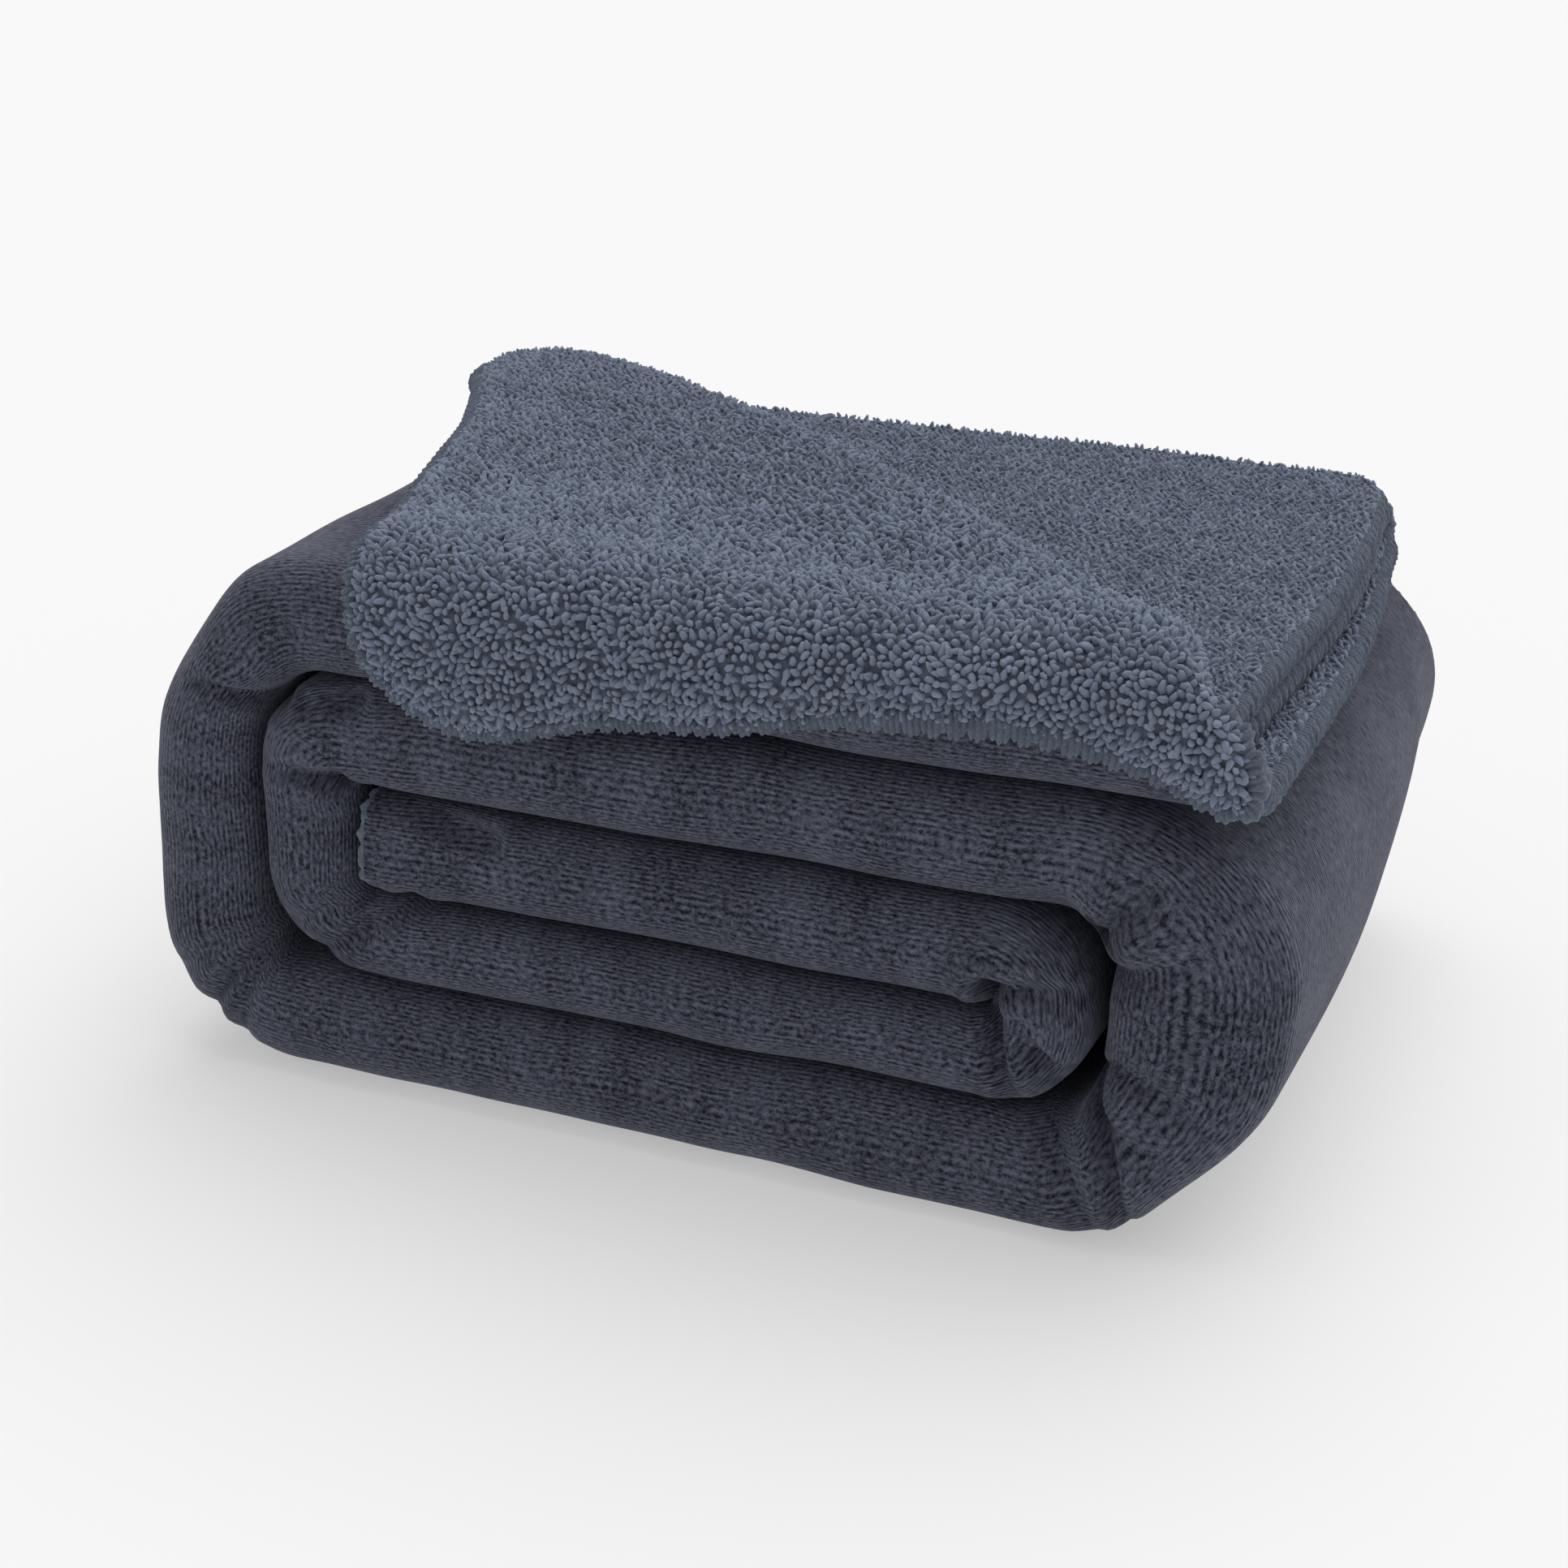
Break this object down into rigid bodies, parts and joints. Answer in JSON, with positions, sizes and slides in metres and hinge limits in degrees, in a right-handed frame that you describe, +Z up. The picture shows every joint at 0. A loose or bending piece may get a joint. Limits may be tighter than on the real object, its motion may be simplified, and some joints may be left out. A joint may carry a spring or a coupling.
{
  "type": "folded throw blanket",
  "caption": "Two-sided throw blanket folded into a strip and rolled up flat, ribbed velvet outside and curly pile lining, with the free end's corner turned over",
  "frame": {"origin": "centre of the footprint, on the surface that the blanket lies on", "axes": "+X to the right along the rolled strip, -Y towards the front with the folded long edge, +Z up"},
  "size_m": [0.4, 0.3016, 0.1966],
  "materials": {
    "ribbed_velvet": "heathered charcoal velvet with fine ribs",
    "curly_pile": "slate blue curly sherpa pile",
    "overlock_yarn": "slate blue overlock yarn"
  },
  "bodies": {
    "roll": {"face_cloth": "ribbed_velvet", "sherpa_lining": "curly_pile", "edge_overlock": "overlock_yarn"},
    "top_turn": {"top_face_cloth": "ribbed_velvet", "top_sherpa_lining": "curly_pile", "top_end_overlock": "overlock_yarn", "top_back_overlock": "overlock_yarn"},
    "corner_flap": {"flap_face_cloth": "ribbed_velvet", "flap_sherpa_lining": "curly_pile", "flap_overlock": "overlock_yarn"}
  },
  "joints": [
    {"name": "unroll", "type": "hinge", "parent": "roll", "child": "top_turn", "pos_m": [-0.2, 0, 0.13465], "axis": [0, -1, 0], "range_deg": [0, 110]},
    {"name": "corner_fold", "type": "hinge", "parent": "top_turn", "child": "corner_flap", "pos_m": [0.172, -0.13865, 0.1869], "axis": [-0.7828, 0.6223, 0], "range_deg": [0, 165]}
  ]
}
